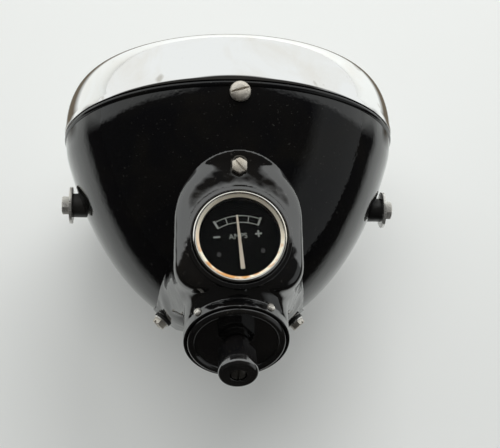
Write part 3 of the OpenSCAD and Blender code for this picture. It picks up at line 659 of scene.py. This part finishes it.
# dial marks: two arcs with cross lines, minus, plus and the unit
markPlan = {
    "drop": 0.0025, "pivotDrop": 0.016, "inner": 0.0252, "outer": 0.0290, "half": 26.0,
    "line": 0.00042, "thick": 0.00015, "pieces": 26, "overlap": 1.04,
    "crossLines": ((-2, 0.0011), (-1, 0.00045), (0, 0.00045), (1, 0.00045), (2, 0.0011)),
    "endShift": 0.0004, "endReach": 0.0012, "signAt": 0.0116, "signShift": (0.0008, -0.0018), "sign": (0.0038, 0.0009),
    "word": "AMPS", "wordSize": 0.0043, "wordAt": (0.0006, -0.0012),
}
faceCentre = ammeterSeat + Vector((0, 0, -markPlan["drop"]))
dialTurn = Matrix.Translation(faceCentre) @ Matrix.Rotation(math.radians(lamp["ammeterTurn"]), 4, "Z")


def stroke(width, length, place, angle=0.0):
    bpy.ops.object.select_all(action="DESELECT")
    bpy.ops.mesh.primitive_cube_add(size=1, location=(0, 0, markPlan["thick"] / 2))
    mark = bpy.context.object
    mark.scale = (width, length, markPlan["thick"])
    bpy.ops.object.transform_apply(location=True, rotation=True, scale=True)
    turn = Matrix.Rotation(math.radians(angle), 4, "Z")
    mark.matrix_world = dialTurn @ Matrix.Translation(Vector((*place, 0))) @ turn
    bpy.ops.object.transform_apply(location=True, rotation=True, scale=True)
    return mark


pivot = Vector((0, markPlan["pivotDrop"]))


def onArc(radius, angle):
    turn = math.radians(angle)
    return pivot + Vector((radius * math.sin(turn), -radius * math.cos(turn)))


marks = []
half, count = markPlan["half"], markPlan["pieces"]
for radius in (markPlan["inner"], markPlan["outer"]):
    width = 2 * radius * math.radians(half) / count * markPlan["overlap"]
    for i in range(count):
        angle = half * (2 * (i + 0.5) / count - 1)
        marks.append(stroke(width, markPlan["line"], onArc(radius, angle), angle))
for k, width in markPlan["crossLines"]:
    angle = k * half / 2
    atEnd = abs(k) == 2
    middle = (markPlan["inner"] + markPlan["outer"]) / 2 + (markPlan["endShift"] if atEnd else 0.0)
    reach = markPlan["outer"] - markPlan["inner"] + (markPlan["endReach"] if atEnd else 0.0)
    marks.append(stroke(width, reach, onArc(middle, angle), angle))
right, down = markPlan["signShift"]
length, width = markPlan["sign"]
marks += [stroke(length, width, (x + right, down)) for x in (markPlan["signAt"], -markPlan["signAt"])]
marks.append(stroke(width, length, (-markPlan["signAt"] + right, down)))
bpy.ops.object.select_all(action="DESELECT")
bpy.ops.object.text_add(location=(0, 0, 0))
word = bpy.context.object
word.data.body = markPlan["word"]
word.data.size = markPlan["wordSize"]
word.data.align_x = "CENTER"
word.data.align_y = "CENTER"
word.data.extrude = markPlan["thick"] / 2
word.data.resolution_u = 3
bpy.ops.object.convert(target="MESH")
word = bpy.context.object
wordPlace = Matrix.Translation(Vector((*markPlan["wordAt"], markPlan["thick"] / 2)))
word.matrix_world = dialTurn @ wordPlace @ Matrix.Rotation(math.pi, 4, "Z")
bpy.ops.object.transform_apply(location=True, rotation=True, scale=True)
joinInto(word, marks)
settle(word, "dialMarks", "scalePaint", ["ammeter_scale"])

# switch cover and knob
coverPlan = {"radius": 0.0280, "bore": 0.0031, "under": -0.003, "edge": 0.0024, "edgeH": -0.0008, "faceIn": 0.0047}
coverR, bore, under, edge = (coverPlan[key] for key in ("radius", "bore", "under", "edge"))
profile = [(bore, under), (coverR, under)] + arcPoints(coverR - edge, coverPlan["edgeH"], edge, 0, 150, 20)
profile += [(coverR - coverPlan["faceIn"], -0.0002), (bore, -0.0001), (bore, under)]
cover = turned(profile, switchFace, switchAxis, sideways, 160)
settle(cover, "switchCover", "coverBlack", ["switch_cover"])

knobPlan = {
    "bore": 0.0031, "gap": 0.0006, "neck": 0.0074, "base": 0.0104, "tip": 0.0112, "foot": 0.0052, "length": 0.0235,
    "edge": 0.0022, "sink": 0.0024, "scoopTurn": 40.0, "scoopIn": 0.0085, "scoopR": 0.044, "scoopFrom": 0.0055,
    "voxel": 0.00022, "relax": 4,
}
tip, length, sink = knobPlan["tip"], knobPlan["length"], knobPlan["sink"]
bore, gap, foot, neck = (knobPlan[key] for key in ("bore", "gap", "foot", "neck"))
profile = [(bore, gap), (neck, gap), (neck, foot), (knobPlan["base"], foot + 0.0004)]
profile += arcPoints(tip - knobPlan["edge"], length - sink, knobPlan["edge"], 0, 75, 8)
profile += [(0.0062, length), (0.0047, length), (0.0046, length - sink), (bore, length - sink), (bore, gap)]
knob = turned(profile, switchFace, switchAxis, sideways, 120)
turnAngle = math.radians(knobPlan["scoopTurn"])
across = Vector((-1, 0, 0)) * math.cos(turnAngle) + switchUp * math.sin(turnAngle)
alongScoop = switchAxis.cross(across)
reach = knobPlan["scoopIn"] + knobPlan["scoopR"]
scoopFoot = switchFace + switchAxis * knobPlan["scoopFrom"]
cutAway(knob, [pin(knobPlan["scoopR"], 0.05, scoopFoot + across * reach * way, alongScoop, 240) for way in (-1, 1)])
useModifier(knob, "REMESH", mode="VOXEL", voxel_size=knobPlan["voxel"], adaptivity=0.0)
useModifier(knob, "SMOOTH", factor=0.5, iterations=knobPlan["relax"])
settle(knob, "switchKnob", "knobBlack", ["switch_knob"], "knob", 60)
print("switch done")

# small metal pieces with softened edges
softPieces = {
    "rim_screw": ("rimScrew", "screwPlate", "plated_screw", 0.00025, "lamp"),
    "panel_top_screw": ("panelTopScrew", "screwPlate", "plated_screw", 0.00018, "lamp"),
    "panel_side_screws": ("panelSideScrews", "screwPlate", "plated_screw", 0.00018, "lamp"),
    "panel_side_washers": ("panelSideWashers", "boltPlate", "plated_screw", 0.00012, "lamp"),
    "panel_side_packings": ("panelSidePackings", "blackRubber", "black_rubber", 0.0003, "lamp"),
    "switch_collar_screws": ("collarScrews", "screwPlate", "plated_screw", 0.0001, "lamp"),
    "knob_screw": ("knobScrew", "darkScrew", "plated_screw", 0.00012, "knob"),
    "pivot_bolts": ("pivotBolts", "boltPlate", "bolt_plate", 0.00025, "lamp"),
    "pivot_washers": ("pivotWashers", "boltPlate", "bolt_plate", 0.0002, "lamp"),
    "pivot_spacers": ("pivotSpacers", "spacerBlack", "spacer_black", 0.0002, "lamp"),
    "wiring_grommet": ("wiringGrommet", "blackRubber", "black_rubber", 0.0003, "lamp"),
}
for node, (name, finish, slot, width, body) in softPieces.items():
    piece = copyOf(node)
    useModifier(piece, "DECIMATE", decimate_type="DISSOLVE", angle_limit=math.radians(1))
    useModifier(piece, "BEVEL", width=width, segments=3, limit_method="ANGLE", angle_limit=math.radians(35))
    settle(piece, name, finish, [node], body)
print("fasteners done")

# finishes on the kept nodes
keptFinishes = {
    "rim_tab": "innerSteel", "rim_hook": "innerSteel", "lens_seal": "blackRubber", "mirror_clips": "innerSteel",
    "bulb_holder": "plainBrass", "main_bulb": "bulbGlass", "main_bulb_cap": "plainBrass",
    "side_light_holder": "plainBrass", "side_light_bulb": "bulbGlass",
    "panel_top_nut": "innerSteel", "panel_side_nuts": "innerSteel",
    "ammeter_case": "innerSteel", "ammeter_movement": "plainBrass", "ammeter_dial": "dialBlack",
    "ammeter_dial_rivets": "blackRubber", "ammeter_glass": "dialGlass", "ammeter_needle": "needlePaint",
    "ammeter_bracket": "innerSteel", "ammeter_studs": "plainBrass", "ammeter_nuts": "plainBrass",
    "switch_body": "switchBrown", "switch_terminals": "plainBrass", "switch_spindle": "innerSteel",
    "pivot_blocks": "innerSteel", "pivot_nuts": "innerSteel",
}
for node, finish in keptFinishes.items():
    for slot in nodes[node].material_slots:
        slot.material = materials[finish]
print("kept nodes finished:", len(keptFinishes))

# floor: "seen" is for the camera, "pale" lights the lamp, and bright metal mirrors a pale table
# that turns dim beside and behind the lamp, with a painted shadow ring in front of the rim
floorPlan = {
    "z": -0.1070, "size": 2.4, "rough": 0.8, "sideReach": 0.85, "forwardShift": 0.12,
    "pale": (0.80, 0.815, 0.805), "tableGlow": (0.15, 0.155, 0.15), "dim": (0.03, 0.028, 0.026),
    "seenPale": (0.65, 0.66, 0.652), "seenGlow": (0.17, 0.173, 0.168),
    "beside": (0.30, 0.40), "forward": (0.06, -0.08),
    "shadowRingMid": (-0.0085, 0.04), "shadowRingHalf": (0.1003, 0.106), "shadowRingTone": (0.15, 0.125, 0.095),
    "shadowRingInner": (1.16, 1.42), "shadowRingOuter": (2.35, 1.85), "shadowRingRear": (0.045, 0.015),
}
bpy.ops.object.select_all(action="DESELECT")
bpy.ops.mesh.primitive_plane_add(size=floorPlan["size"], location=(0, 0, floorPlan["z"]))
floor = bpy.context.object
floor.name = "paleFloor"
floorPaint = bpy.data.materials.new("paleFloor")
floorPaint.use_nodes = True
tree = floorPaint.node_tree
shader = tree.nodes["Principled BSDF"]
shader.inputs["Roughness"].default_value = floorPlan["rough"]
shader.inputs["Specular IOR Level"].default_value = 0.0
shift = tree.nodes.new("ShaderNodeMapping")
shift.inputs["Location"].default_value = (0, floorPlan["forwardShift"], 0)
shift.inputs["Scale"].default_value = (floorPlan["sideReach"], 1, 1)
tree.links.new(tree.nodes.new("ShaderNodeTexCoord").outputs["Object"], shift.inputs["Vector"])
parts = tree.nodes.new("ShaderNodeSeparateXYZ")
tree.links.new(shift.outputs["Vector"], parts.inputs[0])
rays = tree.nodes.new("ShaderNodeLightPath")
behind = maths(tree, "MAXIMUM", parts.outputs["Y"], 0.0)
beside = mapped(tree, lengthOf(tree, parts.outputs["X"], behind), *floorPlan["beside"])
forward = mapped(tree, parts.outputs["Y"], *floorPlan["forward"], 1, 0)
outside = maths(tree, "MULTIPLY", beside, forward)
# painted shadow ring: glossy rays see the floor darkened to a dim brown in an elliptical ring in front of the rim
offMid = [maths(tree, "SUBTRACT", parts.outputs[axis], mid) for axis, mid in zip("XY", floorPlan["shadowRingMid"])]
shadowRingSpan = lengthOf(tree, *(maths(tree, "DIVIDE", off, half) for off, half in zip(offMid, floorPlan["shadowRingHalf"])))
frontShadowRing = mapped(tree, shadowRingSpan, *floorPlan["shadowRingOuter"])
for edge in (mapped(tree, parts.outputs["Y"], *floorPlan["shadowRingRear"]), mapped(tree, shadowRingSpan, *floorPlan["shadowRingInner"])):
    frontShadowRing = maths(tree, "MULTIPLY", frontShadowRing, edge)
outside = maths(tree, "MAXIMUM", outside, frontShadowRing)
# painted glow: near the lamp the floor emits light for glossy rays, lifting its shadow in reflections
inside = maths(tree, "MULTIPLY", maths(tree, "SUBTRACT", 1.0, outside), rays.outputs["Is Glossy Ray"])
glow = blendColour(tree, rays.outputs["Is Camera Ray"], (0, 0, 0), floorPlan["seenGlow"])
tree.links.new(blendColour(tree, inside, glow, floorPlan["tableGlow"]), shader.inputs["Emission Color"])
shader.inputs["Emission Strength"].default_value = 1.0
reflected = maths(tree, "MULTIPLY", outside, rays.outputs["Is Glossy Ray"])
paint = blendColour(tree, rays.outputs["Is Camera Ray"], floorPlan["pale"], floorPlan["seenPale"])
mirrored = blendColour(tree, frontShadowRing, floorPlan["dim"], floorPlan["shadowRingTone"])
tree.links.new(blendColour(tree, reflected, paint, mirrored), shader.inputs["Base Color"])
floor.data.materials.append(floorPaint)

# room: dark, with a bright wall in front of the lamp and a grey one on its right
roomPlan = {
    "backdrop": (0.80, 0.815, 0.81), "dark": (0.030, 0.029, 0.027), "wallGlow": (0.925, 0.95, 0.94),
    "rightGlow": (0.30, 0.31, 0.31), "wallLean": 0.20, "wallFrom": (0.06, 0.14), "wallTop": (0.925, 0.85),
    "rightFrom": (-0.45, -0.75), "rightTop": (0.60, 0.45),
}
world = bpy.data.worlds.new("room")
bpy.context.scene.world = world
world.use_nodes = True
tree = world.node_tree
sky = tree.nodes["Background"]
rays = tree.nodes.new("ShaderNodeLightPath")
parts = tree.nodes.new("ShaderNodeSeparateXYZ")
tree.links.new(tree.nodes.new("ShaderNodeTexCoord").outputs["Generated"], parts.inputs[0])
ahead = maths(tree, "MULTIPLY", parts.outputs["Y"], -1.0)
lean = maths(tree, "MULTIPLY", maths(tree, "MAXIMUM", parts.outputs["Z"], 0.0), roomPlan["wallLean"])
wallSide = mapped(tree, maths(tree, "SUBTRACT", ahead, lean), *roomPlan["wallFrom"])
frontWall = maths(tree, "MULTIPLY", wallSide, mapped(tree, parts.outputs["Z"], *roomPlan["wallTop"]))
rightSide = mapped(tree, parts.outputs["X"], *roomPlan["rightFrom"])
rightWall = maths(tree, "MULTIPLY", rightSide, mapped(tree, parts.outputs["Z"], *roomPlan["rightTop"]))
sideTone = blendColour(tree, rightWall, roomPlan["dark"], roomPlan["rightGlow"])
roomTone = blendColour(tree, frontWall, sideTone, roomPlan["wallGlow"])
direct = mapped(tree, rays.outputs["Diffuse Depth"], 0.4, 0.6, 1, 0)
through = maths(tree, "MULTIPLY", rays.outputs["Is Transmission Ray"], direct)
seen = maths(tree, "MAXIMUM", rays.outputs["Is Camera Ray"], through)
tree.links.new(blendColour(tree, seen, roomTone, roomPlan["backdrop"]), sky.inputs["Color"])

# the softboxes light the lamp but don't show in it
softboxes = {
    "backBox": dict(at=(-0.35, -1.35, 1.0), aim=(0, 0, 0), size=(1.1, 0.7), power=17, tone=(1.0, 1.0, 0.99)),
    "topBox": dict(at=(0.25, -0.30, 1.5), aim=(0, 0, 0), size=(0.9, 0.9), power=8, tone=(1.0, 1.0, 0.985)),
    "leftBox": dict(at=(1.3, -0.3, 0.9), aim=(0, 0, -0.1), size=(0.8, 0.8), power=1.2, tone=(1.0, 1.0, 0.985)),
    "rightBox": dict(at=(-1.3, 0.0, 0.9), aim=(0, 0, -0.1), size=(0.8, 0.8), power=1.2, tone=(1.0, 1.0, 0.985)),
}
for name, plan in softboxes.items():
    light = bpy.data.lights.new(name, "AREA")
    light.shape = "RECTANGLE"
    light.size, light.size_y = plan["size"]
    light.energy = plan["power"]
    light.color = plan["tone"]
    stand = bpy.data.objects.new(name, light)
    bpy.context.scene.collection.objects.link(stand)
    stand.location = plan["at"]
    stand.visible_glossy = False
    stand.visible_transmission = False
    stand.rotation_euler = (Vector(plan["aim"]) - Vector(plan["at"])).to_track_quat("-Z", "Y").to_euler()

# camera
cameraPlan = {
    "at": (0.0425, 0.2014, 0.6528), "lens": 76.2,
    "right": (-0.99648, 0.00919, 0.08334), "up": (0.0145, -0.96011, 0.27923),
    "back": (0.08258, 0.27945, 0.9566),
}
eye = bpy.data.cameras.new("photoCamera")
eye.lens = cameraPlan["lens"]
eye.sensor_width = 36.0
eye.sensor_fit = "HORIZONTAL"
camera = bpy.data.objects.new("photoCamera", eye)
bpy.context.scene.collection.objects.link(camera)
turn = Matrix((cameraPlan["right"], cameraPlan["up"], cameraPlan["back"])).transposed()
camera.matrix_world = Matrix.Translation(Vector(cameraPlan["at"])) @ turn.to_4x4()
bpy.context.scene.camera = camera
bpy.context.scene.view_settings.view_transform = "Standard"
